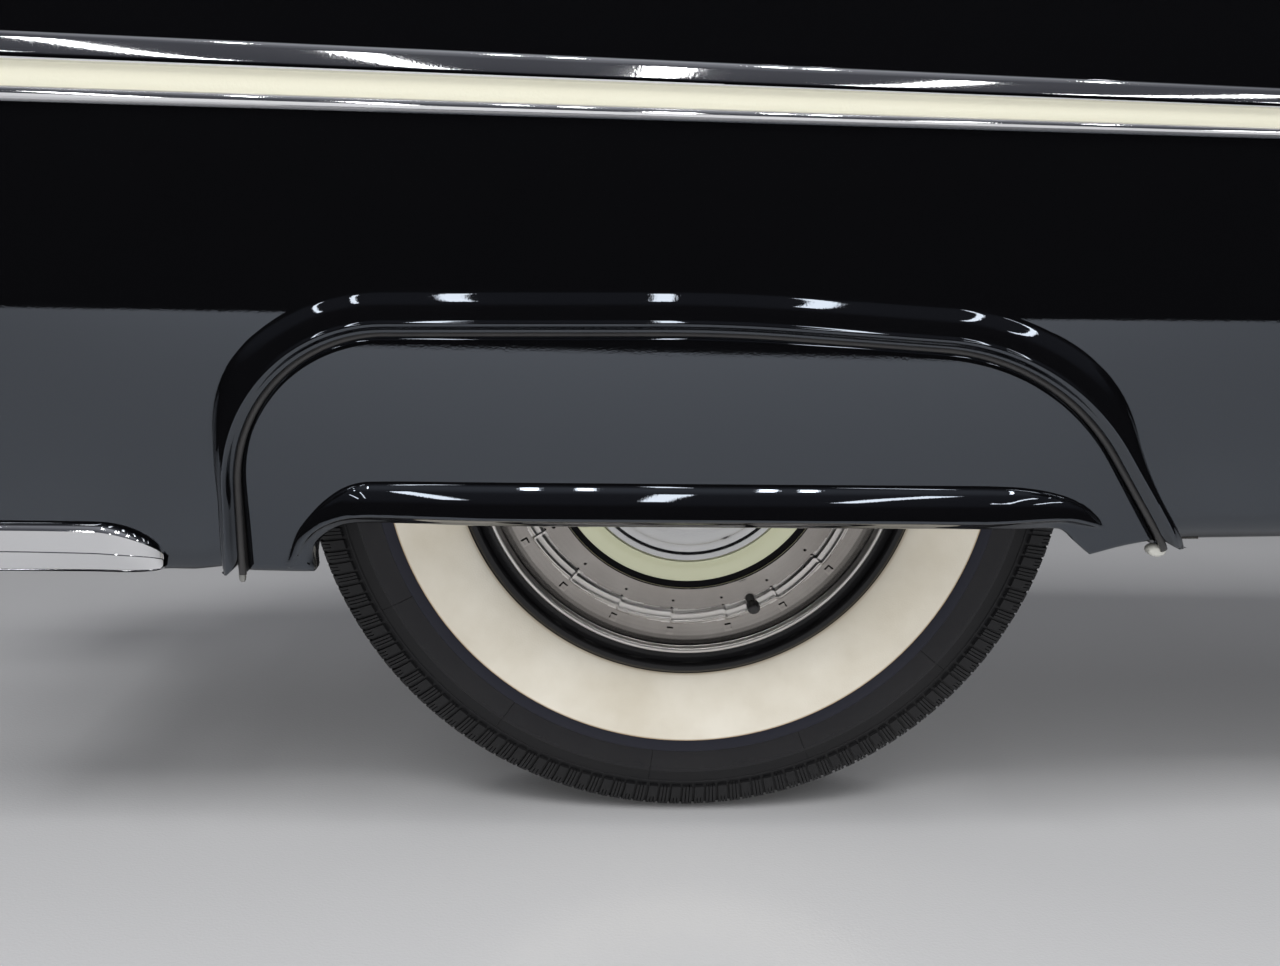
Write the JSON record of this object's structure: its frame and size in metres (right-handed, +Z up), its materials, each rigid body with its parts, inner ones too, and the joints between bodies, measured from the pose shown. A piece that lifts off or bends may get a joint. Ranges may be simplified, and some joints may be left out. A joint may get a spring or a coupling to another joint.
{
  "type": "rear quarter of a 1950s family car with fender skirt and whitewall wheel",
  "caption": "Left rear quarter of a 1950s family car: panel with flared opening, fender skirt, bright mouldings, rail, leaf spring, half axle and a turning whitewall wheel.",
  "frame": {"origin": "centre of the four cross-member bolts on the inner face of the chassis rail, straight above the axle line", "axes": "+X to the rear of the car, +Y inboard across the car, +Z up"},
  "size_m": [1.91, 0.6725, 0.9085],
  "materials": {
    "body_paint": "gloss",
    "seal_rubber": "matt",
    "bright_trim": "polished",
    "cream_paint": "gloss",
    "undercoat": "matt",
    "chassis_paint": "satin",
    "plain_steel": "satin",
    "white_rubber": "satin",
    "tyre_rubber": "satin",
    "wheel_paint": "gloss",
    "drum_iron": "rough",
    "stainless": "polished"
  },
  "bodies": {
    "root": {"quarter_panel": "body_paint", "fender_skirt": "body_paint", "skirt_seal": "seal_rubber", "moulding_upper": "bright_trim", "moulding_insert": "cream_paint", "moulding_lower": "bright_trim", "rocker_moulding": "bright_trim", "wheelhouse_outer": "undercoat", "wheelhouse_inner": "undercoat", "frame_rail": "chassis_paint", "floor_side": "undercoat", "body_cushions": "seal_rubber", "sill_inner": "undercoat", "luggage_side_wall": "undercoat", "spring_main_leaf": "chassis_paint", "spring_lower_leaves": "chassis_paint", "spring_front_hanger": "chassis_paint", "spring_eye_bolt": "plain_steel", "spring_shackle": "chassis_paint", "spring_rear_bracket": "chassis_paint", "axle_housing": "chassis_paint", "wheel_bearing": "plain_steel", "backing_plate": "chassis_paint", "spring_clamp_plate": "chassis_paint", "spring_u_bolt_outer": "plain_steel", "spring_u_bolt_inner": "plain_steel", "damper_body": "chassis_paint", "damper_sleeve": "chassis_paint", "damper_lower_ears": "chassis_paint", "damper_upper_ears": "chassis_paint", "bump_buffer": "seal_rubber", "skirt_foot_pin": "bright_trim", "skirt_rest": "white_rubber"},
    "wheel": {"tyre": "tyre_rubber", "rim": "wheel_paint", "wheel_disc": "wheel_paint", "wheel_bolts": "plain_steel", "brake_drum": "drum_iron", "axle_shaft": "plain_steel", "wheel_cover": "stainless", "cover_ring": "cream_paint", "cover_centre": "bright_trim", "valve_stem": "seal_rubber"}
  },
  "joints": [
    {"name": "wheel_spin", "type": "hinge", "parent": "root", "child": "wheel", "pos_m": [0, -0.314, -0.19], "axis": [0, 1, 0], "continuous": true}
  ]
}
